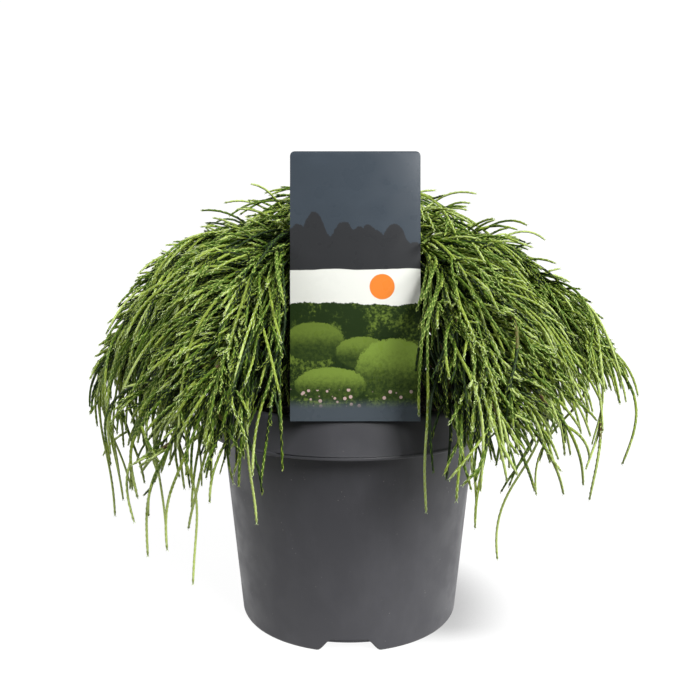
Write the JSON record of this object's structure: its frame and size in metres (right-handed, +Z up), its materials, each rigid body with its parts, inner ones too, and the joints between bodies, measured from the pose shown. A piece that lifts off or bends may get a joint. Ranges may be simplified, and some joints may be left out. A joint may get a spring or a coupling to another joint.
{
  "type": "dwarf thread-leaved sawara cypress in a nursery pot",
  "caption": "Low weeping conifer with thread-like foliage hanging over a dark round plastic pot, with a plain picture label hooked over the rim.",
  "frame": {"origin": "centre of the flat underside of the pot, on the surface that it stands on", "axes": "+Z up; -Y towards the label at the front; +X to the right as seen from the front"},
  "size_m": [0.3508, 0.3237, 0.2993],
  "materials": {
    "pot_plastic": "satin dark grey moulded plastic",
    "compost": "matte, crumbly dark brown",
    "label_plastic": "printed semi-gloss card-like plastic",
    "bark": "matte, stringy reddish brown bark",
    "foliage": "matte green scale leaves"
  },
  "bodies": {
    "root": {"pot": "pot_plastic", "compost": "compost", "label": "label_plastic", "trunk": "bark", "bough_front": "bark", "bough_inner_1": "bark", "bough_inner_2": "bark", "bough_inner_3": "bark", "bough_inner_4": "bark", "bough_inner_5": "bark", "bough_inner_6": "bark", "bough_outer_1": "bark", "bough_outer_2": "bark", "bough_outer_3": "bark", "bough_outer_4": "bark", "bough_outer_5": "bark", "bough_outer_6": "bark", "bough_outer_7": "bark", "foliage_front": "foliage", "foliage_inner_1": "foliage", "foliage_inner_2": "foliage", "foliage_inner_3": "foliage", "foliage_inner_4": "foliage", "foliage_inner_5": "foliage", "foliage_inner_6": "foliage", "foliage_outer_1": "foliage", "foliage_outer_2": "foliage", "foliage_outer_3": "foliage", "foliage_outer_4": "foliage", "foliage_outer_5": "foliage", "foliage_outer_6": "foliage", "foliage_outer_7": "foliage", "foliage_top": "foliage"}
  },
  "joints": []
}
